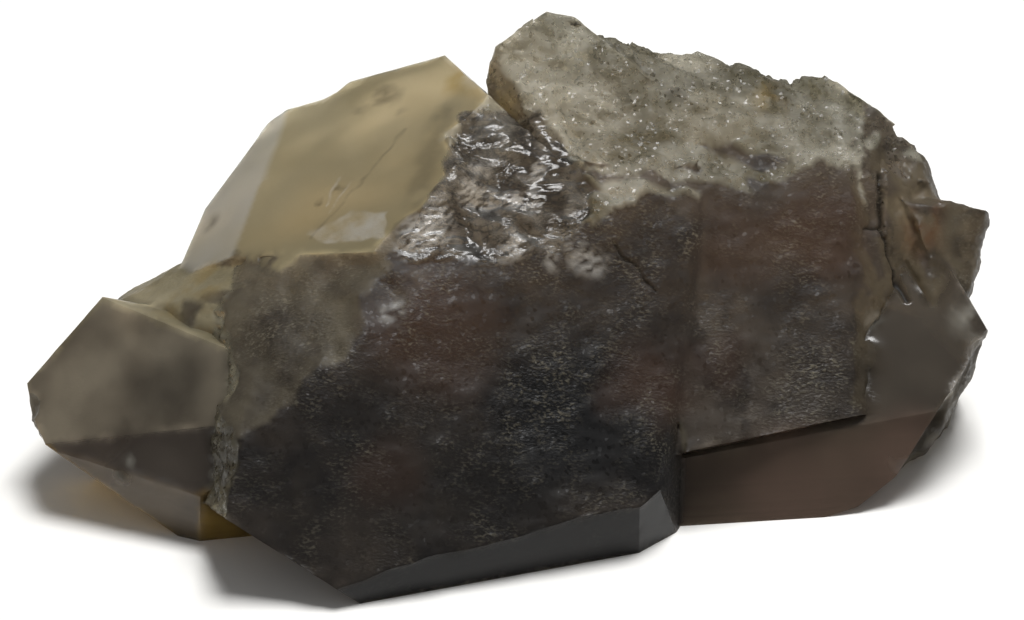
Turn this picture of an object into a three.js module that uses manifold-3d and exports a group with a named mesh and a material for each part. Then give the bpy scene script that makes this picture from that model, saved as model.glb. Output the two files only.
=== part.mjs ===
import * as THREE from "three";
import { ImprovedNoise } from "three/addons/math/ImprovedNoise.js";
import Module from "manifold-3d";

// Smoky quartz: stubby crystals grown together side by side into one stone, lying on a flat break.
// Millimetres, +Z up. The front is -Y, the single point reaches out to the left (-X).

// Level at which the stone is broken off flat underneath.
const BASE_LEVEL = 0;

// Every face is cut by a slab wide enough to pass right through the stone.
const SLAB_SPAN = 140;
const SLAB_THICKNESS = 70;

// How a face is worked by growth, etching or breaking.
// depth: height of the relief; wave: width of its swells; cell: size of its facets;
// ledge: height of its steps; ridged: shell-shaped hollows with sharp rims between them.
const SMOOTH = { depth: 0, wave: 1, cell: SLAB_SPAN, ledge: 0, ridged: false };
const ETCHED = { depth: 0.7, wave: 9, cell: 3.2, ledge: 0, ridged: false };
const FROSTED = { depth: 2.2, wave: 9, cell: 2.0, ledge: 0.9, ridged: false };
const BROKEN = { depth: 1.5, wave: 10, cell: 2.2, ledge: 0, ridged: true };
const SNAPPED = { depth: 3.0, wave: 16, cell: 4.0, ledge: 0, ridged: true };

// Relief is a sum of swells, each finer and lower than the one before.
const SWELLS = 3;
const SWELL_REACH_RATIO = 0.45;
const SWELL_HEIGHT_RATIO = 0.5;
const HOLLOW_LEVEL = 0.4;
const LEDGE_SHARPNESS = 0.65;

// A face: a point it passes through, the way it looks out (turn from the front towards the right,
// rise above level, in degrees) and how it is worked. A crystal is a block between two corners that
// lie outside its faces, or inside its neighbours, cut back to the faces.
function face(at, turn, rise, grain) {
  return { at, turn, rise, grain };
}

// Faces that the front crystal and the pale one share.
const BREAST = face([-3.3, -18, 14.3], 19, 41, ETCHED);
const CROWN = face([-3.1, -0.1, 30.9], 13, 56, BROKEN);
const PALE_BROAD = face([-17.8, 5.7, 30.5], -53, 62, SMOOTH);

// The big dark crystal in front, etched over its breast, with a narrow polished foot.
const FRONT = {
  from: [-35, -31, -5],
  to: [20, 15, 37],
  faces: {
    foot: face([4.9, -21.8, 0], 17, -6, SMOOTH),
    footCorner: face([14.5, -18.1, 0], 42, -4, SMOOTH),
    breast: BREAST,
    breastLow: face([0.5, -23.7, 5.5], 11, 34, ETCHED),
    temple: face([-23.3, -5.3, 24.5], -43, 60, BROKEN),
    crown: CROWN,
    pale: PALE_BROAD,
    cheek: face([-22.5, -22, 1.1], -46, -42, SMOOTH),
    leftEnd: face([-30.5, -12, 14], -78, 18, BROKEN),
    rightEnd: face([17.5, -14, 3], 68, 8, SMOOTH),
    back: face([-23, 1, 25], -172, 0, SMOOTH),
  },
};

// The clean point at the left, chipped at its tip.
const LEFT_POINT = {
  from: [-54, -21, -5],
  to: [-22, 17, 30],
  faces: {
    upper: face([-42.6, -7.7, 15.1], -28, 46, SMOOTH),
    lower: face([-36.5, -15.6, 9.4], -18, 20, SMOOTH),
    foot: face([-36.3, -16.4, 4.8], -21, -7, SMOOTH),
    footRight: face([-30, -16.7, 0], 10, -10, SMOOTH),
    tip: face([-50.9, -8.1, 12], -76, -2, SMOOTH),
    tipUnder: face([-49.9, -10.1, 9.5], -68, -14, SMOOTH),
    under: face([-41.8, -14.3, 4.3], -46, -39, SMOOTH),
    ridge: face([-47.5, -4, 16.5], -106, 39, SMOOTH),
    inner: face([-28.5, -5, 21], 90, 40, SMOOTH),
    top: face([-37, -5, 19.7], 130, 78, SMOOTH),
    topBack: face([-43, 0, 19.5], 161, 57, SMOOTH),
    back: face([-36, 9, 12], 190, 12, SNAPPED),
    backUnder: face([-46, 0, 6], -120, -30, SMOOTH),
  },
};

// The low shoulder behind the point.
const SHOULDER = {
  from: [-45, -9, 9],
  to: [-28, 15, 28],
  faces: {
    slope: face([-36.4, 1.7, 20.2], -94, 70, ETCHED),
    back: face([-39, 4, 19.4], -125, 52, ETCHED),
    front: face([-37, -3, 19.5], -28, 40, BROKEN),
    rear: face([-33, 13, 12], 190, 12, SNAPPED),
    under: face([-44, 3, 8], -110, -25, SMOOTH),
  },
};

// The pale crystal at the upper left, with one broad flat face.
const PALE = {
  from: [-38, -9, -5],
  to: [12, 29, 43],
  faces: {
    broad: PALE_BROAD,
    strip: face([-27.5, 8, 27.3], -72, 52, SMOOTH),
    leftLow: face([-34.7, 8, 22.7], -95, 24, SMOOTH),
    leftMid: face([-30.1, 12, 29.1], -103, 35, SMOOTH),
    leftHigh: face([-25.9, 16, 33.4], -105, 38, SMOOTH),
    roofLeft: face([-22.2, 18.1, 35], -140, 61, SMOOTH),
    roof: face([-13.1, 18.1, 37.9], -145, 62, SMOOTH),
    right: face([-4.7, 16, 38], 115, 42, SMOOTH),
    crown: CROWN,
    breast: BREAST,
    front: face([-23, -2, 26], -24, 0, SMOOTH),
    back: face([-15, 23.5, 20], 186, 7, SNAPPED),
    backLeft: face([-31, 20.5, 20], -130, 14, SMOOTH),
  },
};

// Faces that the right crystal and the knob on its top share.
const OVERHANG = face([4.5, 6, 32.5], -50, 4, BROKEN);
const KNOB_LEFT = face([-2.6, 16, 37], -88, -2, SMOOTH);
const KNOB_LEFT_HIGH = face([-2.2, 18, 39], -96, 15, SMOOTH);
const KNOB_ROOF_LEFT = face([1.1, 20, 42], -120, 49, SMOOTH);

// The right crystal, frosted on top and etched in front.
const RIGHT = {
  from: [-4, -17, -5],
  to: [42, 32, 47],
  faces: {
    front: face([25.2, -9.1, 12.7], 14, 41, ETCHED),
    top: face([25.4, 11.7, 32.5], 21, 65, FROSTED),
    roof: face([15.6, 22, 38.6], 158, 65, ETCHED),
    roofRight: face([25.9, 22, 36.1], 142, 62, ETCHED),
    left: OVERHANG,
    leftBack: KNOB_LEFT,
    leftHigh: KNOB_LEFT_HIGH,
    roofLeft: KNOB_ROOF_LEFT,
    under: face([28, -9, 8], 20, -50, SMOOTH),
    side: face([39.5, 5.5, 21.2], 59, 23, BROKEN),
    back: face([20, 26.2, 20], 178, 4, SNAPPED),
    backRight: face([36, 22, 20], 140, 10, SNAPPED),
  },
};

// The knob on the top of the right crystal.
const KNOB = {
  from: [-6, 5, 24],
  to: [15, 29, 47],
  faces: {
    front: face([5, 15, 38.8], 13, 46, FROSTED),
    frontLeft: OVERHANG,
    left: KNOB_LEFT,
    leftHigh: KNOB_LEFT_HIGH,
    roofLeft: KNOB_ROOF_LEFT,
    roof: face([5.6, 20, 43.5], 146, 63, SMOOTH),
    right: face([8.7, 20, 41.7], 115, 46, SMOOTH),
    back: face([4, 25.5, 36], 185, 15, BROKEN),
  },
};

// The rough broken mass at the right end.
const SIDE = {
  from: [31, -9, -5],
  to: [54, 27, 41],
  faces: {
    front: face([43.5, 7, 21.5], 25, 28, BROKEN),
    crest: face([37.6, 9.5, 29.3], 25, 50, FROSTED),
    left: face([35.2, 14.6, 32.9], -30, 43, FROSTED),
    roofLeft: face([32.7, 20, 35.9], -150, 60, ETCHED),
    roof: face([37.1, 18, 35.6], 113, 49, SMOOTH),
    roofLow: face([41.5, 16, 33.2], 119, 53, SMOOTH),
    slope: face([44.4, 14, 31.7], 100, 36, SMOOTH),
    right: face([45.3, 12, 28.9], 88, 17, BROKEN),
    rightLow: face([48.6, -4, 11.3], 68, -16, SMOOTH),
    under: face([43.2, -8, 4.7], 50, -36, SMOOTH),
    back: face([40, 22, 15], 150, 12, SNAPPED),
    backRight: face([51.5, 8, 12], 112, 4, ETCHED),
  },
};

// The knob that stands out of the right end.
const SIDE_KNOB = {
  from: [40, -5, 12],
  to: [54, 17, 31],
  faces: {
    front: face([46, 5.5, 21.5], 25, 28, BROKEN),
    left: face([44.4, 5, 22], -48, 14, BROKEN),
    brow: face([48, 7.6, 25.4], 20, 62, BROKEN),
    top: face([48.7, 8, 26.6], 165, 63, ETCHED),
    right: face([51.1, 6, 22.1], 77, -1, ETCHED),
    under: face([51.2, 9.3, 16.4], 68, -16, SMOOTH),
    back: face([47, 13, 18], 160, 20, SNAPPED),
  },
};

// The glassy crystal under the right one.
const LOWER_RIGHT = {
  from: [8, -18, -5],
  to: [54, 18, 24],
  faces: {
    front: face([25, -13.7, 0], 6, 22, SMOOTH),
    top: face([36.9, -4.2, 12.6], 0, 52, SMOOTH),
    edge: face([50.7, 2, 15.9], 97, 31, SMOOTH),
    right: face([49.1, -4, 11.3], 68, -16, SMOOTH),
    rightLow: face([43.5, -8.2, 4.5], 50, -36, SMOOTH),
    corner: face([40.1, -11.2, 2.8], 64, -22, SMOOTH),
    under: face([34.8, -13.2, 0.9], 27, -50, SMOOTH),
    back: face([36, 15, 8], 160, 10, SNAPPED),
    backRight: face([52, 6, 12], 105, 4, SMOOTH),
  },
};

// Places where an edge has been knocked off: middle and half-sizes of the shell-shaped hollow.
const CHIPS = [
  { at: [50.6, -2.6, 13.4], half: [1.9, 2.2, 2.6] },
  { at: [47.4, -7.4, 9.4], half: [1.6, 2.0, 2.4] },
  { at: [42.2, -11.2, 5.0], half: [2.4, 1.6, 1.8] },
  { at: [-51.2, -8.6, 11.4], half: [1.4, 1.8, 2.0] },
  { at: [-40.9, -15.6, 6.6], half: [1.1, 1.0, 0.9] },
  { at: [16.2, -18.6, 1.2], half: [1.5, 1.3, 1.7] },
];

const CRYSTALS = [FRONT, LEFT_POINT, SHOULDER, PALE, RIGHT, KNOB, SIDE, SIDE_KNOB, LOWER_RIGHT];

const wasm = await Module();
wasm.setup();

// A three.js geometry as a closed solid.
function solid(geometry) {
  const flat = geometry.index ? geometry.toNonIndexed() : geometry;
  const mesh = new wasm.Mesh({
    numProp: 3,
    vertProperties: new Float32Array(flat.attributes.position.array),
    triVerts: Uint32Array.from({ length: flat.attributes.position.count }, (_, i) => i),
  });
  mesh.merge();
  return new wasm.Manifold(mesh);
}

const noise = new ImprovedNoise();

// Height of a worked face at a place on it; the seed keeps one face's relief unlike another's.
function relief(grain, x, y, seed) {
  let height = 0;
  let size = grain.depth;
  let reach = grain.wave;
  for (let i = 0; i < SWELLS; i += 1) {
    const swell = noise.noise(x / reach, y / reach, seed + i);
    height += size * (grain.ridged ? 2 * Math.abs(swell) - HOLLOW_LEVEL : swell);
    size *= SWELL_HEIGHT_RATIO;
    reach *= SWELL_REACH_RATIO;
  }
  if (grain.ledge > 0) {
    const step = grain.ledge * Math.round(height / grain.ledge);
    height = THREE.MathUtils.lerp(height, step, LEDGE_SHARPNESS);
  }
  return height;
}

// The slab that takes away everything outside a face.
function slab({ at, turn, rise, grain }) {
  const [x, y, z] = at;
  const seed = (x + 2 * y + 3 * z) / 4;
  const cells = Math.max(1, Math.round(SLAB_SPAN / grain.cell));
  const geometry = new THREE.BoxGeometry(SLAB_SPAN, SLAB_SPAN, SLAB_THICKNESS, cells, cells, 1);
  geometry.translate(0, 0, SLAB_THICKNESS / 2);
  const place = geometry.attributes.position;
  for (let i = 0; i < place.count; i += 1) {
    if (place.getZ(i) < SLAB_THICKNESS / 2 && grain.depth > 0) {
      place.setZ(i, relief(grain, place.getX(i), place.getY(i), seed));
    }
  }
  const t = THREE.MathUtils.degToRad(turn);
  const r = THREE.MathUtils.degToRad(rise);
  const out = new THREE.Vector3(Math.sin(t) * Math.cos(r), -Math.cos(t) * Math.cos(r), Math.sin(r));
  const along = new THREE.Vector3(Math.cos(t), Math.sin(t), 0);
  const up = new THREE.Vector3().crossVectors(out, along);
  geometry.applyMatrix4(new THREE.Matrix4().makeBasis(along, up, out).setPosition(...at));
  return solid(geometry);
}

// One crystal: a block cut back to its faces.
function crystal({ from, to, faces }) {
  const low = new THREE.Vector3(...from);
  const high = new THREE.Vector3(...to);
  const size = new THREE.Vector3().subVectors(high, low);
  const middle = new THREE.Vector3().addVectors(low, high).multiplyScalar(0.5);
  const block = new THREE.BoxGeometry(size.x, size.y, size.z).translate(middle.x, middle.y, middle.z);
  return Object.values(faces).reduce((body, one) => body.subtract(slab(one)), solid(block));
}

let stone = CRYSTALS.map(crystal).reduce((whole, one) => whole.add(one));

for (const { at, half } of CHIPS) {
  const hollow = new THREE.IcosahedronGeometry(1, 1).scale(...half).translate(...at);
  stone = stone.subtract(solid(hollow));
}

// The flat break that it lies on.
const below = new THREE.BoxGeometry(2 * SLAB_SPAN, 2 * SLAB_SPAN, SLAB_THICKNESS);
below.translate(0, 0, BASE_LEVEL - SLAB_THICKNESS / 2);
stone = stone.subtract(solid(below));

// The origin is the middle of the stone's outline, on the level it lies on.
const box = stone.boundingBox();
stone = stone.translate(-(box.min[0] + box.max[0]) / 2, -(box.min[1] + box.max[1]) / 2, -box.min[2]);

const made = stone.getMesh();
const geometry = new THREE.BufferGeometry();
geometry.setAttribute("position", new THREE.BufferAttribute(new Float32Array(made.vertProperties), 3));
geometry.setIndex(new THREE.BufferAttribute(new Uint32Array(made.triVerts), 1));
geometry.computeVertexNormals();

const quartz = new THREE.MeshStandardMaterial({ color: "#5a5148", roughness: 0.35, metalness: 0 });
const crystalMesh = new THREE.Mesh(geometry, quartz);
crystalMesh.name = "smoky_quartz";

const group = new THREE.Group();
group.name = "smoky_quartz_crystal";
group.add(crystalMesh);

export default group;
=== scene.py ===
import math
from collections import namedtuple
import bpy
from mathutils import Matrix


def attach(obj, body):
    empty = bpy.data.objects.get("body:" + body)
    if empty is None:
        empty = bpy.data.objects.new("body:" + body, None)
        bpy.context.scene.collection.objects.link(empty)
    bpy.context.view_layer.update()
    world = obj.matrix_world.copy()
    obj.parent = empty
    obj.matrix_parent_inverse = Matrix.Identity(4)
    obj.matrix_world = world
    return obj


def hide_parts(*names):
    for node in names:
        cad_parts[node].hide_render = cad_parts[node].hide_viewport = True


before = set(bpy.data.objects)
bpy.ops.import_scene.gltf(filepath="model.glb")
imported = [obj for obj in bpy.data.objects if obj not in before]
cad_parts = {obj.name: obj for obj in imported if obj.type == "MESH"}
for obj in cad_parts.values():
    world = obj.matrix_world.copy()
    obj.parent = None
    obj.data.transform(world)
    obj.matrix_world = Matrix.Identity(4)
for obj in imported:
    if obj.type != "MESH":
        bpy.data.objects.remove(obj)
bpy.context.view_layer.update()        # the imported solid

from types import SimpleNamespace

import bmesh
import bpy
from bpy.props import FloatProperty, FloatVectorProperty, PointerProperty
from mathutils import Vector, geometry, kdtree, noise

bl_info = {
    "name": "Smoky Quartz Crystal",
    "version": (1, 0, 0),
    "blender": (4, 5, 0),
    "location": "3D View > Sidebar > Smoky Quartz",
    "description": "Dresses the packed smoky quartz solid as a natural crystal and sets up its studio",
    "category": "Object",
}

MM = 0.001
STONE = "smoky_quartz"
# Fixed, so that the uneven rims and the course of the cracks are the same in each run
NOISE_SEED = 212


def hex_colour(text):
    """An sRGB hex value such as #8a7d63 as a linear colour."""
    values = [int(text[i:i + 2], 16) / 255 for i in (1, 3, 5)]
    return tuple(v / 12.92 if v <= 0.04045 else ((v + 0.055) / 1.055) ** 2.4 for v in values)


def colour_property(name, text, description):
    """A colour that a user may change, with an sRGB hex value as its default."""
    return FloatVectorProperty(name=name, description=description, subtype="COLOR", size=3,
                               min=0.0, max=1.0, default=hex_colour(text))


def length_property(name, millimetres, description):
    """A length that a user may change, shown in the scene's unit."""
    return FloatProperty(name=name, description=description, subtype="DISTANCE", unit="LENGTH",
                         min=0.0, default=millimetres * MM, precision=5)


def share_property(name, value, description):
    """A number from 0 to 1 that a user may change."""
    return FloatProperty(name=name, description=description, subtype="FACTOR", min=0.0, max=1.0,
                         default=value)


# The tints of the stone's skins: the deep one and the light one, which drift into each other in clouds.
SKINS = {
    # The foot skin: the crystal's smoke, darkened further as painted shade on the down-facing foot.
    "foot": ("#0d0a09", "#1c1613"),
    "smoke": ("#241e1a", "#4f4439"),
    "dark": ("#282320", "#52483e"),
    "temple": ("#544b3e", "#938871"),
    "crumbs": ("#6b624c", "#c9bfa2"),
    "olive": ("#7b7060", "#bbaf98"),
    "dim": ("#62574e", "#857a6e"),
    "brown": ("#6f6150", "#a8957b"),
    # The amber skin: partly the crystal's tint, partly a painted glow of light shining through the thin
    # lower edge.
    "amber": ("#a8853f", "#e2bb66"),
    "shoulder": ("#a0946f", "#d8cca8"),
    "pale": ("#c0b085", "#d3c59e"),
    "milky": ("#ddd5bd", "#f0eadb"),
    "front": ("#352d26", "#73675a"),
    "frost": ("#77715a", "#d6d2c0"),
    "earth": ("#4c4132", "#8d8069"),
    "sherry": ("#55463b", "#8d7b68"),
    "grey": ("#574e43", "#7a6f60"),
    # The crown's own grey; its light end goes on the raised scallop tops as a painted highlight.
    "fracture_and_painted_glint": ("#4a4641", "#8d8a83"),
    "snapped": ("#6d6353", "#a59a84"),
}

# The crystal faces, in millimetres in the part's frame: a point on the face, the way it looks as a turn
# from the front and a rise from level in degrees, how far it reaches, its finish and its skin.
Facet = namedtuple("Facet", "at turn rise reach finish skin")
FACETS = (
    # The dark front crystal
    # The foot facets carry painted shade on top of the smoke tint.
    Facet((4.6, -22.4, 0.0), 17, -6, 30, "glassy", "foot"),
    Facet((14.2, -18.7, 0.0), 42, -4, 10, "glassy", "foot"),
    Facet((0.5, -15.3, 15.9), 19, 41, 25, "etched", "smoke"),
    Facet((-6.6, -24.9, 6.5), 11, 34, 20, "etched", "dark"),
    Facet((-21.1, -8.0, 23.7), -43, 60, 15, "etched", "temple"),
    Facet((-22.8, -22.6, 1.1), -46, -42, 15, "glassy", "dark"),
    Facet((-30.8, -12.6, 14.0), -78, 18, 12, "crumbled", "crumbs"),
    Facet((17.2, -14.6, 3.0), 68, 8, 30, "etched", "dark"),
    # The left point and its shoulder
    Facet((-42.9, -8.3, 15.1), -28, 46, 20, "satin", "olive"),
    Facet((-36.8, -16.2, 9.4), -18, 20, 20, "glassy", "dim"),
    Facet((-36.6, -17.0, 4.8), -21, -7, 20, "glassy", "brown"),
    # The amber skins on these lower facets hold a painted glow of light through the thin edge.
    Facet((-30.3, -17.3, 0.0), 10, -10, 20, "glassy", "amber"),
    Facet((-51.2, -8.7, 12.0), -76, -2, 12, "mottled", "olive"),
    Facet((-50.2, -10.7, 9.5), -68, -14, 12, "glassy", "brown"),
    Facet((-42.1, -14.9, 4.3), -46, -39, 20, "glassy", "amber"),
    Facet((-47.8, -4.6, 16.5), -106, 39, 16, "mottled", "shoulder"),
    Facet((-37.3, -5.6, 19.7), 130, 78, 16, "mottled", "shoulder"),
    Facet((-43.3, -0.6, 19.5), 161, 57, 16, "mottled", "shoulder"),
    Facet((-46.3, -0.6, 6.0), -120, -30, 20, "glassy", "brown"),
    Facet((-35.9, 0.5, 20.5), -94, 70, 8, "etched", "shoulder"),
    Facet((-39.3, 3.4, 19.4), -125, 52, 9, "etched", "shoulder"),
    Facet((-37.3, -3.6, 19.5), -28, 40, 6, "etched", "shoulder"),
    Facet((-44.3, 2.4, 8.0), -110, -25, 16, "glassy", "brown"),
    # The pale crystal
    Facet((-15.0, 11.0, 33.7), -53, 62, 20, "cloudy", "pale"),
    Facet((-27.8, 7.4, 27.3), -72, 52, 25, "cloudy", "milky"),
    Facet((-35.0, 7.4, 22.7), -95, 24, 25, "cloudy", "milky"),
    Facet((-30.4, 11.4, 29.1), -103, 35, 20, "cloudy", "milky"),
    Facet((-26.2, 15.4, 33.4), -105, 38, 20, "cloudy", "milky"),
    Facet((-22.5, 17.5, 35.0), -140, 61, 20, "cloudy", "milky"),
    Facet((-13.4, 17.5, 37.9), -145, 62, 25, "cloudy", "milky"),
    Facet((-5.0, 15.4, 38.0), 115, 42, 15, "cloudy", "milky"),
    Facet((-31.3, 19.9, 20.0), -130, 14, 25, "cloudy", "milky"),
    Facet((-15.3, 22.9, 20.0), 186, 7, 18, "etched", "milky"),
    # The frosted right crystal and its knob
    Facet((27.0, -3.7, 18.6), 14, 41, 22, "etched", "front"),
    Facet((22.2, 12.4, 34.3), 21, 65, 26, "frosted", "frost"),
    Facet((15.3, 21.4, 38.6), 158, 65, 18, "frosted", "frost"),
    Facet((25.6, 21.4, 36.1), 142, 62, 14, "frosted", "frost"),
    Facet((27.7, -9.6, 8.0), 20, -50, 25, "glassy", "dark"),
    Facet((4.7, 2.9, 33.0), 13, 56, 9, "frosted", "frost"),
    Facet((4.2, 5.4, 32.5), -50, 4, 10, "frosted", "earth"),
    Facet((3.5, 14.7, 40.4), 13, 46, 12, "frosted", "frost"),
    Facet((-2.9, 15.4, 37.0), -88, -2, 12, "mottled", "frost"),
    Facet((-2.5, 17.4, 39.0), -96, 15, 12, "mottled", "frost"),
    Facet((0.8, 19.4, 42.0), -120, 49, 12, "mottled", "frost"),
    Facet((5.3, 19.4, 43.5), 146, 63, 12, "mottled", "frost"),
    Facet((8.4, 19.4, 41.7), 115, 46, 12, "mottled", "frost"),
    # The broken mass at the right end and its knob
    Facet((38.9, 0.6, 18.6), 59, 23, 15, "broken", "earth"),
    Facet((42.5, 3.6, 23.0), 25, 28, 12, "broken", "earth"),
    Facet((38.7, 13.3, 32.7), 25, 50, 9, "frosted", "grey"),
    Facet((34.9, 14.0, 32.9), -30, 43, 8, "frosted", "frost"),
    Facet((36.8, 17.4, 35.6), 113, 49, 12, "mottled", "frost"),
    Facet((41.2, 15.4, 33.2), 119, 53, 12, "mottled", "frost"),
    Facet((44.1, 13.4, 31.7), 100, 36, 12, "mottled", "grey"),
    Facet((45.0, 11.4, 28.9), 88, 17, 10, "broken", "earth"),
    Facet((47.0, 6.0, 21.5), 25, 28, 8, "broken", "earth"),
    Facet((44.1, 4.4, 22.0), -48, 14, 7, "broken", "earth"),
    Facet((47.7, 7.0, 25.4), 20, 62, 7, "broken", "earth"),
    Facet((50.8, 5.4, 22.1), 77, -1, 8, "broken", "grey"),
    # The glassy crystal under it
    Facet((24.7, -14.3, 0.0), 6, 22, 35, "glassy", "sherry"),
    Facet((36.6, -4.8, 12.6), 0, 52, 25, "glassy", "grey"),
    Facet((50.4, 1.4, 15.9), 97, 31, 20, "satin", "grey"),
    Facet((48.8, -4.6, 11.3), 68, -16, 20, "glassy", "grey"),
    Facet((43.2, -8.8, 4.5), 50, -36, 15, "glassy", "sherry"),
    Facet((39.8, -11.8, 2.8), 64, -22, 12, "glassy", "sherry"),
    Facet((34.5, -13.8, 0.9), 27, -50, 20, "glassy", "sherry"),
    Facet((51.7, 5.4, 12.0), 105, 4, 20, "mottled", "grey"),
    # Every other surface is a rough break
    Facet((0.0, 25.0, 15.0), 180, 5, 200, "broken", "snapped"),
)
SNAPPED = len(FACETS) - 1
GROWN = ("glassy", "cloudy", "satin", "mottled")

# A grown face is flat: a triangle belongs to it only when it lies in its plane, within these millimetres
# and degrees.
PLANE_DEPTH = 0.15
PLANE_LEAN = 3.0
# A worked face is uneven: a triangle may lie off it, lean and reach past it by about so much. Where the sum
# of these shares is over the limit, the triangle is a rough break.
FACE_DEPTH = 3.0
FACE_LEAN = 35.0
FACE_PAST = 0.5
FACE_LIMIT = 2.2
# When neighbours vote on a triangle's face: how often, what its own vote counts, and the bend in degrees
# past which a neighbour has no say.
VOTES = 3
OWN_VOTE = 0.4
VOTE_BEND = 50

# Edges stay sharp from these bends on, in degrees: on the bare solid, inside one surface, beside a break
# and between grown faces.
FIRST_BEND = 12
INNER_BEND = 120
BREAK_BEND = 50
GROWN_BEND = 18

# In millimetres: how near corners are the same, which slivers go, how high the flat base reaches, and how
# close to the floor the relief may come. Then how often the free points are smoothed.
SAME_PLACE = 0.001
SLIVER = 0.02
BASE = 0.01
FLOOR_GAP = 0.02
SMOOTHINGS = 14

# The fresh fracture over the front crystal's crown, and a white healed break inside the pale crystal:
# their outlines in millimetres, how deep they reach, and the way that the crown faces.
CROWN = ((-5.9, 8.4, 36.8), (2.7, 10.1, 36.6), (8.6, 0.7, 30.0), (4.7, -3.7, 27.1), (-3.6, -6.4, 27.1),
         (-11.9, -7.2, 27.5), (-11.4, -4.9, 29.4), (-7.8, -0.4, 33.5))
VEIL = ((-22.1, -0.4, 27.0), (-17.4, 0.4, 29.3), (-13.4, -1.6, 30.4), (-13.4, -5.0, 28.9),
        (-19.3, -2.9, 27.4))
OUTLINE_DEPTH = 4.0
CROWN_TURN, CROWN_RISE = 13, 56

# Lines in the skin, in millimetres: what it is, its course and its half width. A crack is open, flaws and
# hazes are dark, and veins are white. A line is looked for this near its start and this deep.
LINE_REACH = 20.0
LINE_DEPTH = 2.5
Line = namedtuple("Line", "kind course width")
LINES = (
    Line("crack", ((10.4, -2.0, 26.9), (11.0, -2.4, 26.3), (14.6, -4.7, 22.8)), 0.17),
    Line("crack", ((39.4, 9.7, 29.0), (39.5, 6.1, 24.4), (41.1, 4.0, 20.3), (42.4, 2.0, 17.6)), 0.35),
    Line("crack", ((36.2, 5.6, 24.6), (39.5, 6.1, 24.4)), 0.18),
    Line("flaw", ((-11.8, 9.4, 34.6), (-16.6, 4.0, 30.8), (-21.5, -1.4, 27.0)), 0.25),
    Line("vein", ((-18.7, 6.0, 30.5), (-20.2, 2.8, 28.9)), 0.20),
    Line("vein", ((-17.3, 4.6, 30.7), (-19.6, 1.8, 28.8)), 0.15),
    Line("haze", ((-7.4, 10.1, 36.6), (-9.0, 5.0, 34.3), (-10.4, -2.1, 31.5)), 1.6),
)

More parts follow.
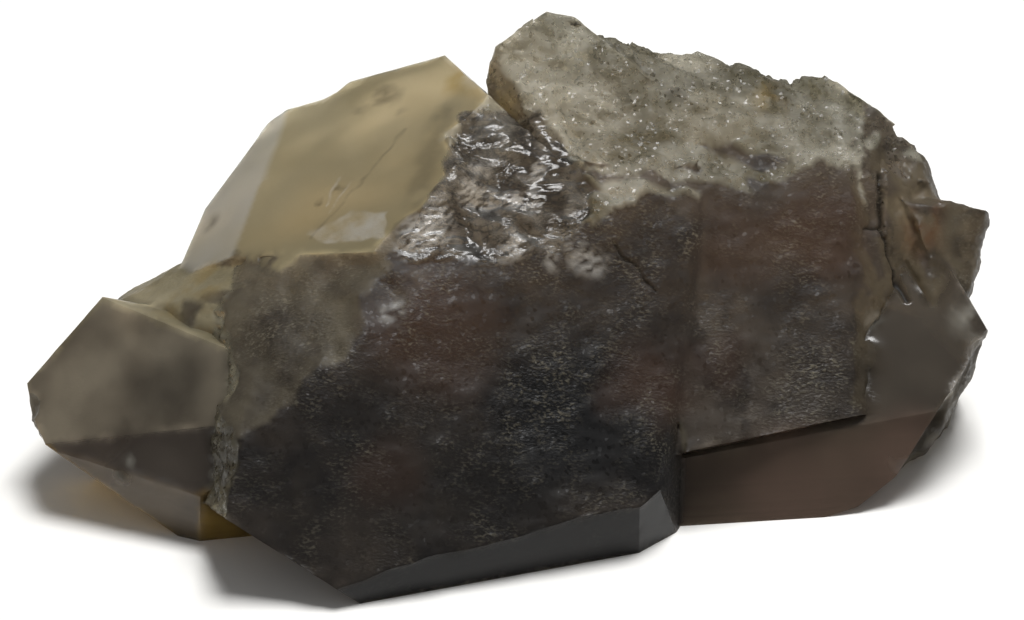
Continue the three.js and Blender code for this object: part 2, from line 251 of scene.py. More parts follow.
# Local marks, in millimetres: what it is, its middle, its radius and its strength. Dust only brings out
# the light grains, and every other mark has its colour in the settings.
Mark = namedtuple("Mark", "kind at radius strength")
MARKS = (
    Mark("core", (4.6, -16.0, 13.9), 11.0, 1.0),
    Mark("core", (14.5, -17.0, 8.5), 6.0, 0.9),
    Mark("core", (-2.0, -22.0, 8.5), 7.0, 0.6),
    Mark("core", (-15.6, -20.0, 16.4), 6.0, 0.5),
    Mark("core", (28.1, -1.4, 20.9), 6.0, 0.6),
    Mark("core", (-35.5, -11.5, 15.3), 5.0, 0.4),
    Mark("glow", (-8.5, -12.5, 22.6), 8.0, 0.8),
    Mark("glow", (14.0, -11.2, 15.7), 5.5, 0.9),
    Mark("glow", (-13.0, -22.5, 11.5), 5.0, 0.5),
    Mark("glow", (32.6, 3.5, 25.5), 7.0, 0.8),
    Mark("glow", (24.0, 1.5, 25.0), 6.0, 0.5),
    Mark("glow", (21.5, -7.5, 15.5), 4.0, 0.6),
    # Painted highlights: bright patches painted on the fresh fracture and on the crumbled ridge, in place
    # of glints of the overhead light.
    Mark("fracture_and_painted_glint", (-9.8, -4.9, 29.4), 3.2, 1.0),
    Mark("fracture_and_painted_glint", (-7.6, -3.0, 30.8), 2.2, 0.8),
    Mark("fracture_and_painted_glint", (-3.2, -0.1, 30.6), 2.4, 0.9),
    Mark("fracture_and_painted_glint", (0.6, 0.0, 31.0), 2.6, 1.0),
    Mark("fracture_and_painted_glint", (-0.3, -4.9, 27.9), 2.0, 1.0),
    Mark("fracture_and_painted_glint", (3.1, -4.6, 27.0), 2.0, 0.9),
    Mark("fracture_and_painted_glint", (-3.5, 2.8, 33.3), 1.6, 0.9),
    Mark("fracture_and_painted_glint", (1.6, 3.4, 33.0), 1.6, 0.9),
    Mark("fracture_and_painted_glint", (7.4, -3.7, 26.0), 2.2, 0.7),
    Mark("fracture_and_painted_glint", (-12.8, -11.8, 24.5), 1.8, 0.8),
    Mark("fracture_and_painted_glint", (-4.8, 8.6, 37.0), 1.5, 0.8),
    Mark("fracture_and_painted_glint", (-31.5, -12.0, 17.2), 2.2, 0.9),
    Mark("fracture_and_painted_glint", (-32.2, -15.4, 13.4), 1.8, 0.9),
    Mark("fracture_and_painted_glint", (-29.4, -22.5, 11.2), 1.6, 0.7),
    Mark("dust", (31.5, -7.6, 13.0), 7.0, 1.0),
    Mark("dust", (4.0, -12.5, 17.5), 6.0, 0.8),
    Mark("dust", (-3.0, -20.0, 11.5), 6.0, 0.6),
    Mark("dust", (-22.0, -8.0, 24.0), 7.0, 0.6),
    Mark("soot", (-15.0, 15.6, 35.2), 3.0, 0.6),
    Mark("soot", (-18.6, 4.2, 30.0), 0.9, 0.9),
    Mark("soot", (-21.0, 3.2, 28.7), 0.8, 0.9),
    Mark("soot", (-12.4, 12.4, 35.6), 1.0, 0.7),
    Mark("soot", (-33.0, 9.0, 24.2), 1.6, 0.7),
    Mark("soot", (6.0, 13.0, 40.0), 1.4, 0.6),
    Mark("soot", (17.6, 14.6, 36.0), 1.6, 0.6),
    Mark("soot", (21.6, 5.4, 31.0), 3.0, 0.5),
    Mark("ember", (30.0, -15.0, 2.5), 9.0, 0.8),
    Mark("ember", (41.0, -10.5, 5.0), 7.0, 0.9),
    Mark("rust", (44.6, 6.3, 23.8), 3.5, 0.9),
    Mark("rust", (29.8, 17.9, 34.7), 2.5, 0.5),
    Mark("ochre", (-5.5, 13.5, 38.0), 3.5, 0.9),
    Mark("ochre", (-0.6, 14.0, 35.0), 3.5, 0.7),
    Mark("ochre", (28.2, 17.0, 34.6), 3.0, 0.7),
    Mark("ochre", (-32.4, -1.0, 22.0), 4.0, 0.7),
    Mark("ochre", (-36.0, -3.0, 20.0), 3.0, 0.5),
    Mark("chip", (49.4, 0.4, 15.6), 3.0, 0.9),
    Mark("chip", (49.0, -3.0, 12.0), 2.6, 0.8),
    Mark("chip", (46.6, -6.6, 8.6), 2.2, 0.8),
    Mark("chip", (39.0, 0.0, 17.2), 2.2, 0.7),
    Mark("chip", (-40.3, -15.6, 8.1), 0.8, 1.0),
)
INNER_LIGHT = ("core", "glow", "ember")
MARK_COLOURS = (*INNER_LIGHT, "fracture_and_painted_glint", "soot", "rust", "ochre", "chip", "veil", "crack")

# Where the softbox hangs over the floor and where the camera looks, in millimetres.
SOFTBOX_AT = (150.0, 100.0)
CAMERA_AIM = (-0.343, -6.101, 21.2)


class QuartzSettings(bpy.types.PropertyGroup):
    """Sizes, colours and optics of the crystal."""

    finest_edge: length_property("Finest edge", 0.6, "Longest mesh edge left on the worked faces")
    plain_edge: length_property("Plain edge", 1.0, "Longest mesh edge left on the flat grown faces")
    detail_edge: length_property("Detail edge", 0.3, "Longest mesh edge left in the crown and along cracks")
    etch_depth: length_property("Etch depth", 0.16, "Relief of the etched growth ridges")
    frost_depth: length_property("Frost depth", 0.9, "Relief of the frosted crust")
    scallop_depth: length_property("Scallop depth", 0.55, "Depth of the shell-like fracture scallops")
    crumb_depth: length_property("Crumb depth", 0.8, "Relief of the crumbled ridge")
    chip_depth: length_property("Chip depth", 0.14, "Wear along the crystal edges")
    crack_depth: length_property("Crack depth", 0.35, "Depth of the open cracks")

    core: colour_property("Core", "#060508", "Blue-black heart of the front crystal")
    glow: colour_property("Glow", "#5b4232", "Brown light from inside")
    # Colour of the painted highlights on the fracture.
    fracture_and_painted_glint: colour_property("Silver", "#f4f2ec", "Bright flakes of the fresh fracture")
    soot: colour_property("Soot", "#3d3524", "Dark inclusions and pits")
    ember: colour_property("Ember", "#9a8070", "Red-brown light through the lower crystal")
    rust: colour_property("Rust", "#6e4a2e", "Iron stain in the cracks")
    ochre: colour_property("Ochre", "#b59c5e", "Yellow iron stain")
    chip: colour_property("Chip", "#d5d1c4", "Fresh white chips")
    veil: colour_property("Veil", "#e2dfd2", "White healed fracture")
    crack: colour_property("Crack", "#1d1812", "Earth in the open cracks")
    grain: colour_property("Grain", "#d3c8ac", "Light etch grains")

    gloss: share_property("Gloss", 0.45, "Strength of the mirror light on the skin")
    transmission: share_property("Transmission", 0.72, "Share of the light that enters the crystal")
    ior: FloatProperty(name="IOR", description="Refractive index of quartz", default=1.544, min=1.0)
    absorption: colour_property("Absorption", "#bfa984", "Colour that a thin edge lets through")
    density: FloatProperty(name="Absorption density", default=60.0, min=0.0,
                           description="How fast light fades in the stone, per metre")


class StageSettings(bpy.types.PropertyGroup):
    """The studio: floor, light and camera."""

    floor_radius: length_property("Floor radius", 3000.0, "Radius of the floor disc")
    floor: colour_property("Floor", "#f2f1ee", "Pale matte floor")
    softbox_size: length_property("Softbox size", 400.0, "Side of the overhead light")
    softbox_height: length_property("Softbox height", 1100.0, "Height of the overhead light")
    softbox_power: FloatProperty(name="Softbox power", description="Power of the overhead light",
                                 subtype="POWER", unit="POWER", default=14.0, min=0.0)
    room: share_property("Room light", 0.2, "Strength of the even light of the room")
    lens: FloatProperty(name="Lens", description="Focal length in millimetres", default=85.0, min=1.0)
    rise: FloatProperty(name="Camera rise", description="How far the camera looks down", subtype="ANGLE",
                        unit="ROTATION", default=math.radians(30.0))
    distance: length_property("Camera distance", 252.6, "From the camera to the point it looks at")


def look(turn, rise):
    """The direction that is turned from the front and raised from level by so many degrees."""
    turn, rise = math.radians(turn), math.radians(rise)
    return Vector((math.sin(turn) * math.cos(rise), -math.cos(turn) * math.cos(rise), math.sin(rise)))


def fade(value, near, far):
    """1 at near, 0 at far, smooth between."""
    t = min(1.0, max(0.0, (value - far) / (near - far)))
    return t * t * (3 - 2 * t)


def clamped(value):
    """The value, kept from 0 to 1."""
    return min(1.0, max(0.0, value))


def name_facets(bm):
    """Marks each triangle of the merged solid with the crystal face that it belongs to."""
    layer = bm.faces.layers.int.new("facet")
    faces = [(Vector(f.at), look(f.turn, f.rise), f.reach, f.finish in GROWN) for f in FACETS[:SNAPPED]]
    doubtful = []
    for triangle in bm.faces:
        middle = triangle.calc_center_median() / MM
        scores = []
        for at, way, reach, grown in faces:
            away = middle - at
            lean = math.degrees(triangle.normal.angle(way, math.pi))
            depth = abs(way.dot(away))
            past = max(0.0, away.length / reach - 1)
            if not grown:
                scores.append(depth / FACE_DEPTH + lean / FACE_LEAN + past / FACE_PAST)
            elif depth < PLANE_DEPTH and lean < PLANE_LEAN and past == 0:
                scores.append(-1.0)
            else:
                scores.append(FACE_LIMIT)
        best = min(range(len(scores)), key=scores.__getitem__)
        triangle[layer] = best if scores[best] < FACE_LIMIT else SNAPPED
        if scores[best] > 0:
            doubtful.append(triangle)
    for _ in range(VOTES):
        settle_facets(doubtful, layer)
    return layer


def settle_facets(triangles, layer):
    """Gives each triangle the face that most of its surroundings have, by length of shared edge."""
    settled = []
    for triangle in triangles:
        votes = {triangle[layer]: triangle.calc_perimeter() * OWN_VOTE}
        for edge in triangle.edges:
            for other in edge.link_faces:
                if other is not triangle:
                    say = edge.calc_length() * fade(math.degrees(edge.calc_face_angle(0)), 0, VOTE_BEND)
                    votes[other[layer]] = votes.get(other[layer], 0) + say
        settled.append(max(votes, key=votes.get))
    for triangle, index in zip(triangles, settled):
        triangle[layer] = index


def mark_edges(bm, layer):
    """Leaves as sharp the edges where two crystal faces meet, and softens the rest."""
    for edge in bm.edges:
        a, b = edge.link_faces[0][layer], edge.link_faces[-1][layer]
        finishes = {FACETS[a].finish, FACETS[b].finish}
        if a == b or not finishes & set(GROWN):
            least = INNER_BEND
        else:
            least = BREAK_BEND if "broken" in finishes else GROWN_BEND
        on_base = all(v.co.z < BASE * MM for v in edge.verts)
        edge.smooth = math.degrees(edge.calc_face_angle(0)) < least and not on_base


def path_distance(point, normal, course):
    """Millimetres from a point of the skin to a line in the skin, seen square on."""
    nearest = 1e9
    if (point - course[0]).length > LINE_REACH:
        return nearest
    for a, b in zip(course, course[1:]):
        along = geometry.intersect_point_line(point, a, b)[1]
        away = point - a.lerp(b, clamped(along))
        deep = normal.dot(away)
        if abs(deep) < LINE_DEPTH:
            nearest = min(nearest, (away - normal * deep).length)
    return nearest


class Outline:
    """A closed outline in space, seen square on, that tells how far inside it a point lies."""

    def __init__(self, corners):
        points = [Vector(c) for c in corners]
        self.middle = sum(points, Vector()) / len(points)
        self.way = sum(((a - self.middle).cross(b - self.middle)
                        for a, b in zip(points, points[1:] + points[:1])), Vector()).normalized()
        if self.way.z < 0:
            self.way.negate()
        self.across = self.way.orthogonal().normalized()
        self.up = self.way.cross(self.across)
        self.flat = [self.flatten(p) for p in points]
        self.size = max((p - self.middle).length for p in points)

    def flatten(self, point):
        """The point's place in the outline's own plane."""
        away = point - self.middle
        return Vector((self.across.dot(away), self.up.dot(away)))

    def inside(self, point):
        """Millimetres inside the outline, less than 0 outside it."""
        away = point - self.middle
        if away.length > self.size + OUTLINE_DEPTH:
            return -OUTLINE_DEPTH
        here = self.flatten(point)
        nearest, within = 1e9, False
        for a, b in zip(self.flat, self.flat[1:] + self.flat[:1]):
            side = b - a
            along = clamped((here - a).dot(side) / side.length_squared)
            nearest = min(nearest, (a + side * along - here).length)
            if (a.y > here.y) != (b.y > here.y):
                if here.x < a.x + side.x * (here.y - a.y) / side.y:
                    within = not within
        nearest = nearest if within else -nearest
        return min(nearest, OUTLINE_DEPTH - abs(self.way.dot(away)))


def split(bm, long):
    """Cuts long edges in the middle and rounds off the triangles between the sharp edges."""
    bmesh.ops.subdivide_edges(bm, edges=long, cuts=1, use_grid_fill=True)
    bmesh.ops.triangulate(bm, faces=[f for f in bm.faces if len(f.verts) > 3])
    bmesh.ops.beautify_fill(bm, faces=bm.faces, edges=[e for e in bm.edges if e.smooth])


def underneath(edge):
    """Whether the edge lies in the flat base, which stays coarse."""
    return all(f.normal.z < -0.99 for f in edge.link_faces)


def refine(bm, finest):
    """Splits the edges step by step until none is longer than the finest edge."""
    for limit in (8 * finest, 4 * finest, 2 * finest, finest):
        for _ in range(3):
            long = [e for e in bm.edges if e.calc_length() > limit and not underneath(e)]
            if not long:
                break
            split(bm, long)


def refine_skin(bm, layer, s, outlines, lines):
    """Splits the edges finer on worked faces, and finest in the crown and along the thin lines."""
    rim = 0.6
    thin = [(line.course, 2 * line.width + rim / 2) for line in lines if line.kind != "haze"]

    def longest(edge):
        middle = (edge.verts[0].co + edge.verts[1].co) / (2 * MM)
        normal = edge.link_faces[0].normal
        if any(outline.inside(middle) > -rim for outline in outlines):
            return s.detail_edge
        if any(path_distance(middle, normal, course) < near for course, near in thin):
            return s.detail_edge
        grown = all(FACETS[f[layer]].finish in GROWN for f in edge.link_faces)
        return s.plain_edge if grown else s.finest_edge

    for _ in range(5):
        long = [e for e in bm.edges if e.calc_length() > s.detail_edge and not underneath(e)]
        long = [e for e in long if e.calc_length() > longest(e)]
        if not long:
            break
        split(bm, long)


# Each relief gives the rise in metres at a point p, which lies u along its face and v up it, in
# millimetres. What p, u and v are divided by is the size of the swells, pits or shells.
def etched(s, u, v, p):
    """Low swells with short ridges that run across the face."""
    ridges = noise.fractal(Vector((u / 2.6, v / 1.1, 1.7)), 0.9, 2.1, 4)
    return s.etch_depth * (0.6 * ridges + 1.3 * noise.fractal(p / 6, 0.9, 2.0, 3))


def mottled(s, u, v, p):
    """A nearly flat growth face with faint hillocks."""
    return s.etch_depth * 0.35 * noise.fractal(p / 2.4, 0.8, 2.0, 4)


def frosted(s, u, v, p):
    """A lumpy crust with pits and slanting ledges."""
    lumps = noise.fractal(p / 3.6, 0.7, 2.1, 5)
    pits = noise.voronoi(p / 2.6)[0][0]
    ledge = (v + 0.35 * u + 2.2 * noise.noise(p / 4)) / 3.4
    step = ledge - math.floor(ledge)
    return s.frost_depth * (0.6 * lumps - 0.4 * fade(pits, 0.05, 0.4) + 0.5 * step * step)


def conchoidal(s, u, v, p):
    """Shell-like scallops crossed by fine ripples, as on a fresh break in glass."""
    warp = noise.fractal(Vector((u / 5, v / 5, 5.1)), 0.9, 2.0, 3)
    near = noise.voronoi(Vector(((u + 2 * warp) / 3.2, (v + 0.3 * u + 2 * warp) / 1.7, 0.3)))[0]
    ripples = noise.ridged_multi_fractal(Vector((u / 2.2 + warp, v / 0.8, 2.2)), 0.9, 2.0, 3, 1.0, 2.0)
    return s.scallop_depth * (0.9 * near[0] * near[0] - 0.4 + 0.18 * ripples)


def crumbled(s, u, v, p):
    """Loose crumbs that stand out of the ridge."""
    near = noise.voronoi(p / 1.6)[0]
    return s.crumb_depth * (0.8 * (near[1] - near[0]) - 0.35 + 0.5 * noise.fractal(p / 3, 0.8, 2.0, 4))


def broken(s, u, v, p):
    """Broad fracture shells, dulled by small steps."""
    near = noise.voronoi(p / 6)[0]
    return s.scallop_depth * (near[0] * near[0] - 0.3 + 0.6 * noise.fractal(p / 3, 0.8, 2.0, 5))


def glassy(s, u, v, p):
    """A flat growth face, true to a few hundredths."""
    return s.etch_depth * 0.12 * noise.fractal(p / 9, 1.0, 2.0, 3)


# Each finish: its relief, its roughness, how strong its light grains and its sparks are, and how sharp
# its clouds are.
Finish = namedtuple("Finish", "relief roughness grains sparks clouds")
FINISHES = {
    "glassy": Finish(glassy, 0.18, 0.02, 0.00, 0.7),
    "cloudy": Finish(glassy, 0.30, 0.05, 0.05, 0.6),
    "satin": Finish(glassy, 0.42, 0.07, 0.05, 1.0),
    "mottled": Finish(mottled, 0.40, 0.20, 0.30, 1.0),
    "etched": Finish(etched, 0.60, 0.45, 0.30, 0.8),
    "conchoidal": Finish(conchoidal, 0.22, 0.60, 0.30, 1.4),
    "crumbled": Finish(crumbled, 0.30, 0.50, 0.90, 1.2),
    "frosted": Finish(frosted, 0.60, 0.60, 0.80, 1.1),
    "broken": Finish(broken, 0.55, 0.35, 0.40, 0.9),
}


def face_frame(turn, rise):
    """The level direction and the uphill direction on a crystal face."""
    across = Vector((math.cos(math.radians(turn)), math.sin(math.radians(turn)), 0))
    return across, look(turn, rise).cross(across)


def tree_of(points):
    """A tree that finds the nearest of the points."""
    tree = kdtree.KDTree(len(points))
    for i, point in enumerate(points):
        tree.insert(point, i)
    tree.balance()
    return tree


class Skin:
    """Works out the relief and the values that the material reads, point by point."""

    def __init__(self, bm, layer, s, crown, veil, lines):
        self.layer, self.s, self.crown, self.veil, self.lines = layer, s, crown, veil, lines
        self.frames = [face_frame(f.turn, f.rise) for f in FACETS]
        self.crown_frame = face_frame(CROWN_TURN, CROWN_RISE)
        self.tints = {name: [Vector(hex_colour(text)) for text in pair] for name, pair in SKINS.items()}
        self.colours = {name: Vector(getattr(s, name)) for name in MARK_COLOURS}
        sharp = [e for e in bm.edges if not e.smooth]
        self.ridges = tree_of([v.co.copy() for e in sharp if e.is_convex for v in e.verts])
        self.seams = tree_of([v.co.copy() for e in sharp if not e.is_convex for v in e.verts])

    def shares(self, vert, p):
        """The crystal faces and finishes around a point, as (skin, finish, frame, share)."""
        fresh = fade(self.crown.inside(p) + 0.9 * noise.noise(p / 2), 0.4, -0.4)
        around = [f[self.layer] for f in vert.link_faces]
        parts = [("fracture_and_painted_glint", "conchoidal", self.crown_frame, fresh)]
        for i in set(around):
            share = (1 - fresh) * around.count(i) / len(around)
            parts.append((FACETS[i].skin, FACETS[i].finish, self.frames[i], share))
        return [part for part in parts if part[-1] > 0]

    def at(self, vert):
        """The rise, colour, roughness, grains and sparks at a vertex."""
        p = vert.co / MM
        patch = noise.fractal(p / 2.5 + Vector((7, 0, 0)), 0.9, 2.0, 4)
        spot = self.bare(vert, p, patch)
        self.wear_edges_and_paint_light(spot, vert, p, patch)
        self.add_marks(spot, p, patch)
        self.add_veil(spot, p, patch)
        self.add_lines(spot, vert, p, patch)
        return spot.rise, spot.colour, spot.roughness, spot.grains, spot.sparks

    def bare(self, vert, p, patch):
        """The crystal faces around a vertex, blended, with the clouds in their skins, and a painted
        highlight on the raised scallop tops of the crown.
        """
        spot = SimpleNamespace(rise=0.0, colour=Vector(), roughness=0.0, grains=0.0, sparks=0.0, worked=0.0)
        cloud = noise.fractal(p / 8, 0.9, 2.0, 4)
        for skin, finish, (across, uphill), share in self.shares(vert, p):
            kind = FINISHES[finish]
            worked = finish not in GROWN
            height = kind.relief(self.s, across.dot(p), uphill.dot(p), p)
            spot.rise += share * height
            spot.roughness += share * kind.roughness
            spot.grains += share * kind.grains
            spot.sparks += share * kind.sparks
            spot.worked += share * worked
            drift = 0.5 + kind.clouds * (0.7 * cloud + (0.4 if worked else 0.12) * patch)
            # On the fresh fracture the raised scallop tops are painted lighter: a painted highlight in
            # place of glints.
            if finish == "conchoidal":
                drift = 0.3 + 1.1 * patch + 0.5 * height / self.s.scallop_depth
            deep, light = self.tints[skin]
            spot.colour += share * deep.lerp(light, clamped(drift))
        spot.grains *= clamped(0.45 + 1.3 * noise.fractal(p / 6 + Vector((0, 9, 0)), 0.9, 2.0, 3))
        return spot

    def wear_edges_and_paint_light(self, spot, vert, p, patch):
        """Chips the edges between faces and lightens them, partly as worn white chips and partly as a
        painted highlight, and darkens the seams between crystals as painted shade.
        """
        wear_and_edge_highlight = fade(self.ridges.find(vert.co)[2], 0, 0.9 * MM)
        seam_shade = fade(self.seams.find(vert.co)[2], 0, 1.2 * MM)
        spot.rise -= self.s.chip_depth * wear_and_edge_highlight * max(0.0, noise.fractal(p / 2.5, 0.8, 2.0, 3))
        # Lighter edges: partly white wear, partly a painted highlight where a bevel would catch the light.
        # Darker seams: painted shade.
        spot.colour *= 1 + 0.8 * wear_and_edge_highlight * clamped(0.4 + patch) - 0.35 * seam_shade

    def add_marks(self, spot, p, patch):
        """Lays the marks over the skin with uneven rims: painted highlights in slanting streaks, stains in
        patches.
        """
        warped = p + 2.0 * noise.noise_vector(p / 5)
        slanted = Vector((0.8 * p.x + 0.5 * p.z, 0.3 * p.y, 2.6 * p.z - 0.9 * p.x))
        glint_streak = noise.fractal(slanted, 0.8, 2.0, 3)
        for mark in MARKS:
            near = (warped - Vector(mark.at)).length / mark.radius
            if near < 1.2 and mark.kind == "dust":
                spot.grains += 0.5 * mark.strength * fade(near, 0.2, 1.2)
            elif near < 1.2:
                amount = mark.strength * fade(near, 0.3, 1.2)
                # The painted highlights fall in slanting streaks, on worked skin only.
                if mark.kind == "fracture_and_painted_glint":
                    amount *= spot.worked * clamped(0.6 + 1.7 * glint_streak)
                elif mark.kind not in INNER_LIGHT:
                    amount *= clamped(0.5 + 1.5 * patch)
                spot.colour = spot.colour.lerp(self.colours[mark.kind], amount)

    def add_veil(self, spot, p, patch):
        """Whitens and dulls the skin over the healed break."""
        milk = fade(self.veil.inside(p) + 0.4 * noise.noise(p), 0.25, -0.25)
        spot.colour = spot.colour.lerp(self.colours["veil"], milk * clamped(0.5 + 0.6 * patch))
        spot.roughness += 0.35 * milk
        spot.grains += 0.3 * milk

    def add_lines(self, spot, vert, p, patch):
        """Opens the cracks, and draws the dark flaws and the white veins."""
        wobble = p + 0.5 * noise.noise_vector(p / 1.6)
        for line in self.lines:
            near = path_distance(wobble, vert.normal, line.course) / line.width
            if near > 1.6:
                continue
            faint = fade(near, 0.2, 1.5) * clamped(0.6 + patch)
            if line.kind == "crack":
                spot.rise -= self.s.crack_depth * fade(near, 0.2, 1.6) * line.width / 0.3
                spot.colour = spot.colour.lerp(self.colours["crack"], fade(near, 0.3, 1.3))
                spot.roughness += 0.4 * fade(near, 0.3, 1.6)
            elif line.kind == "vein":
                spot.colour = spot.colour.lerp(self.colours["veil"], 0.7 * faint)
            else:
                spot.colour *= 1 - 0.35 * faint


def crystal_mesh(s):
    """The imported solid, merged, refined and given its skin, as a new mesh."""
    noise.seed_set(NOISE_SEED)
    crown, veil = Outline(CROWN), Outline(VEIL)
    lines = [line._replace(course=[Vector(p) for p in line.course]) for line in LINES]
    bm = bmesh.new()
    bm.from_mesh(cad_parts[STONE].data)
    bmesh.ops.remove_doubles(bm, verts=bm.verts, dist=SAME_PLACE * MM)
    bmesh.ops.dissolve_degenerate(bm, edges=bm.edges, dist=SLIVER * MM)
    bmesh.ops.triangulate(bm, faces=bm.faces)
    bm.normal_update()
    for edge in bm.edges:
        edge.smooth = math.degrees(edge.calc_face_angle(0)) < FIRST_BEND
    refine(bm, s.plain_edge)
    layer = name_facets(bm)
    mark_edges(bm, layer)
    refine_skin(bm, layer, s, (crown, veil), lines)
    held = {v for e in bm.edges if not e.smooth for v in e.verts}
    free = [v for v in bm.verts if v not in held and v.co.z > BASE * MM]
    for _ in range(SMOOTHINGS):
        bmesh.ops.smooth_vert(bm, verts=free, factor=0.5, use_axis_x=True, use_axis_y=True, use_axis_z=True)
    bm.normal_update()

    skin = Skin(bm, layer, s, crown, veil, lines)
    values = [skin.at(vert) for vert in bm.verts]
    for vert, (rise, *_) in zip(bm.verts, values):
        if vert.co.z > BASE * MM:
            vert.co += vert.normal * rise
            vert.co.z = max(vert.co.z, FLOOR_GAP * MM)
    for face in bm.faces:
        face.smooth = True
    mesh = bpy.data.meshes.new(STONE + "_skin")
    bm.to_mesh(mesh)
    bm.free()
    tints = [channel for _, colour, *_ in values for channel in (*colour, 1.0)]
    mesh.attributes.new("tint", "FLOAT_COLOR", "POINT").data.foreach_set("color", tints)
    for place, name in enumerate(("roughness", "grains", "sparks"), start=2):
        mesh.attributes.new(name, "FLOAT", "POINT").data.foreach_set("value", [v[place] for v in values])
    return mesh


MIX_FACTOR, MIX_A, MIX_B, MIX_OUT = 0, 6, 7, 2


def add_node(tree, kind, inputs=None, **settings):
    """Adds a node, sets its properties, and sets or links its inputs by name or number."""
    node = tree.nodes.new(kind)
    for name, value in settings.items():
        setattr(node, name, value)
    for key, value in (inputs or {}).items():
        if isinstance(value, bpy.types.NodeSocket):
            tree.links.new(value, node.inputs[key])
        else:
            node.inputs[key].default_value = value
    return node


def per_size(millimetres):
    """The texture scale whose pattern repeats about once in so many millimetres."""
    return 1 / (millimetres * MM)


def quartz_material(s):
    """Smoky quartz, a grown crystal: glass with smoke in it, so thin edges glow amber and thick parts
    go nearly black. Etched and frosted skins scatter the light and look grey, with single sparks."""
    material = bpy.data.materials.new("smoky quartz")
    material.use_nodes = True
    tree = material.node_tree
    tree.nodes.clear()
    place = add_node(tree, "ShaderNodeTexCoord").outputs["Object"]
    tint = add_node(tree, "ShaderNodeAttribute", attribute_name="tint").outputs["Color"]
    roughness, grains, sparks = (add_node(tree, "ShaderNodeAttribute", attribute_name=name).outputs["Fac"]
                                 for name in ("roughness", "grains", "sparks"))
    # Etch grains are 0.25 mm across, drawn out along the stone, and lie in drifts a few times wider
    along = add_node(tree, "ShaderNodeVectorMath", {0: place, 1: (0.55, 1, 1)},
                     operation="MULTIPLY").outputs[0]
    fine = add_node(tree, "ShaderNodeTexNoise", {"Vector": along, "Scale": per_size(0.26), "Detail": 2.0})
    drift = add_node(tree, "ShaderNodeTexNoise", {"Vector": place, "Scale": per_size(2.2), "Detail": 3.0})
    lit = add_node(tree, "ShaderNodeMapRange", {"Value": fine.outputs["Fac"], "From Min": 0.5,
                                                "From Max": 0.75}).outputs[0]
    drifts = add_node(tree, "ShaderNodeMapRange", {"Value": drift.outputs["Fac"], "From Min": 0.38,
                                                   "From Max": 0.66}).outputs[0]
    shown = add_node(tree, "ShaderNodeMath", {0: lit, 1: drifts}, operation="MULTIPLY").outputs[0]
    shown = add_node(tree, "ShaderNodeMath", {0: shown, 1: grains}, operation="MULTIPLY").outputs[0]
    colour = add_node(tree, "ShaderNodeMix", {MIX_FACTOR: shown, MIX_A: tint, MIX_B: (*s.grain, 1.0)},
                      data_type="RGBA").outputs[MIX_OUT]

    # Single etch grains are small bright crystal faces of their own, turned away from their neighbours
    cells = add_node(tree, "ShaderNodeTexVoronoi",
                     {"Vector": place, "Scale": per_size(0.35)}).outputs["Color"]
    pick = add_node(tree, "ShaderNodeSeparateColor", {0: cells}).outputs[0]
    pick = add_node(tree, "ShaderNodeMapRange", {"Value": pick, "From Min": 0.7,
                                                 "From Max": 0.75}).outputs[0]
    spark = add_node(tree, "ShaderNodeMath", {0: pick, 1: sparks}, operation="MULTIPLY").outputs[0]
    bump = add_node(tree, "ShaderNodeBump", {"Strength": grains, "Distance": 0.2 * MM,
                                             "Height": fine.outputs["Fac"]})
    turned = add_node(tree, "ShaderNodeVectorMath", {0: cells, 1: (0.85, 0.5, 0.5)},
                      operation="SUBTRACT").outputs[0]
    turned = add_node(tree, "ShaderNodeVectorMath", {0: turned, "Scale": spark},
                      operation="SCALE").outputs[0]
    turned = add_node(tree, "ShaderNodeVectorMath", {0: turned, 1: bump.outputs["Normal"]}).outputs[0]
    normal = add_node(tree, "ShaderNodeVectorMath", {0: turned}, operation="NORMALIZE").outputs[0]
    polish = add_node(tree, "ShaderNodeMath", {0: spark, 1: -0.7, 2: 1.0},
                      operation="MULTIPLY_ADD").outputs[0]
    roughness = add_node(tree, "ShaderNodeMath", {0: roughness, 1: polish},
                         operation="MULTIPLY").outputs[0]

    body = add_node(tree, "ShaderNodeBsdfPrincipled",
                    {"Base Color": colour, "Roughness": roughness, "Normal": normal,
                     "IOR": s.ior, "Transmission Weight": s.transmission,
                     "Specular Tint": (s.gloss, s.gloss, s.gloss, 1.0)})
    inside = add_node(tree, "ShaderNodeVolumeAbsorption",
                      {"Color": (*s.absorption, 1.0), "Density": s.density})
    add_node(tree, "ShaderNodeOutputMaterial", {"Surface": body.outputs[0], "Volume": inside.outputs[0]})
    return material


def floor_material(colour):
    """Matte paper, which gives an even pale ground."""
    material = bpy.data.materials.new("matte paper")
    material.use_nodes = True
    tree = material.node_tree
    tree.nodes.clear()
    paper = add_node(tree, "ShaderNodeBsdfPrincipled", {"Base Color": (*colour, 1.0), "Roughness": 0.9})
    add_node(tree, "ShaderNodeOutputMaterial", {"Surface": paper.outputs[0]})
    return material


class QUARTZ_OT_crystal(bpy.types.Operator):
    """Build the crystal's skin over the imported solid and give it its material"""

    bl_idname = "quartz.crystal"
    bl_label = "Smoky Quartz"

    def execute(self, context):
        settings = context.scene.quartz
        stone = bpy.data.objects.new("smoky_quartz_crystal", crystal_mesh(settings))
        context.scene.collection.objects.link(stone)
        stone.data.materials.append(quartz_material(settings))
        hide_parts(STONE)
        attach(stone, "root")
        return {"FINISHED"}


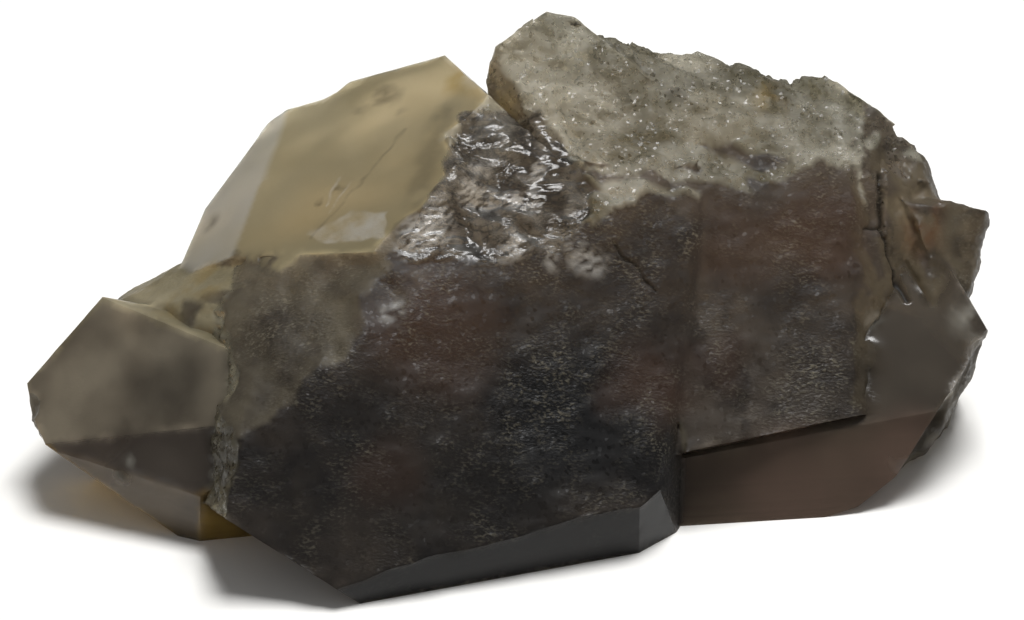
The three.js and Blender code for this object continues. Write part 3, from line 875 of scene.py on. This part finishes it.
class QUARTZ_OT_stage(bpy.types.Operator):
    """Build the floor, the light and the camera"""

    bl_idname = "quartz.stage"
    bl_label = "Studio"

    def execute(self, context):
        settings = context.scene.quartz_stage
        scene = context.scene
        bm = bmesh.new()
        bmesh.ops.create_circle(bm, cap_ends=True, segments=96, radius=settings.floor_radius)
        ground = bpy.data.meshes.new("floor")
        bm.to_mesh(ground)
        bm.free()
        floor = bpy.data.objects.new("floor", ground)
        floor.data.materials.append(floor_material(settings.floor))
        scene.collection.objects.link(floor)

        softbox = bpy.data.lights.new("overhead softbox", "AREA")
        softbox.size = settings.softbox_size
        softbox.energy = settings.softbox_power
        lamp = bpy.data.objects.new("overhead softbox", softbox)
        lamp.location = (SOFTBOX_AT[0] * MM, SOFTBOX_AT[1] * MM, settings.softbox_height)
        scene.collection.objects.link(lamp)

        room = bpy.data.worlds.new("room")
        room.use_nodes = True
        room.node_tree.nodes["Background"].inputs["Color"].default_value = (1, 1, 1, 1)
        room.node_tree.nodes["Background"].inputs["Strength"].default_value = settings.room
        scene.world = room
        scene.view_settings.view_transform = "Standard"

        lens = bpy.data.cameras.new("camera")
        lens.lens = settings.lens
        lens.clip_start = 10 * MM
        camera = bpy.data.objects.new("camera", lens)
        forward = -look(0, math.degrees(settings.rise))
        camera.location = Vector(CAMERA_AIM) * MM - forward * settings.distance
        camera.rotation_euler = forward.to_track_quat("-Z", "Y").to_euler()
        scene.collection.objects.link(camera)
        scene.camera = camera
        return {"FINISHED"}


class QUARTZ_PT_panel(bpy.types.Panel):
    """Lists what the add-on builds and its settings"""

    bl_idname = "QUARTZ_PT_panel"
    bl_label = "Smoky Quartz"
    bl_space_type = "VIEW_3D"
    bl_region_type = "UI"
    bl_category = "Smoky Quartz"

    def draw(self, context):
        for operator, settings in ((QUARTZ_OT_crystal, context.scene.quartz),
                                   (QUARTZ_OT_stage, context.scene.quartz_stage)):
            self.layout.operator(operator.bl_idname)
            for name in settings.__annotations__:
                self.layout.prop(settings, name)


CLASSES = (QuartzSettings, StageSettings, QUARTZ_OT_crystal, QUARTZ_OT_stage, QUARTZ_PT_panel)


def register():
    """Registers the classes and gives the scene their settings."""
    for cls in CLASSES:
        bpy.utils.register_class(cls)
    bpy.types.Scene.quartz = PointerProperty(type=QuartzSettings)
    bpy.types.Scene.quartz_stage = PointerProperty(type=StageSettings)


def unregister():
    """Takes back what register gave."""
    del bpy.types.Scene.quartz_stage
    del bpy.types.Scene.quartz
    for cls in reversed(CLASSES):
        bpy.utils.unregister_class(cls)


def main():
    """Builds the crystal and its studio."""
    register()
    bpy.ops.quartz.crystal()
    bpy.ops.quartz.stage()


if __name__ == "__main__":
    main()
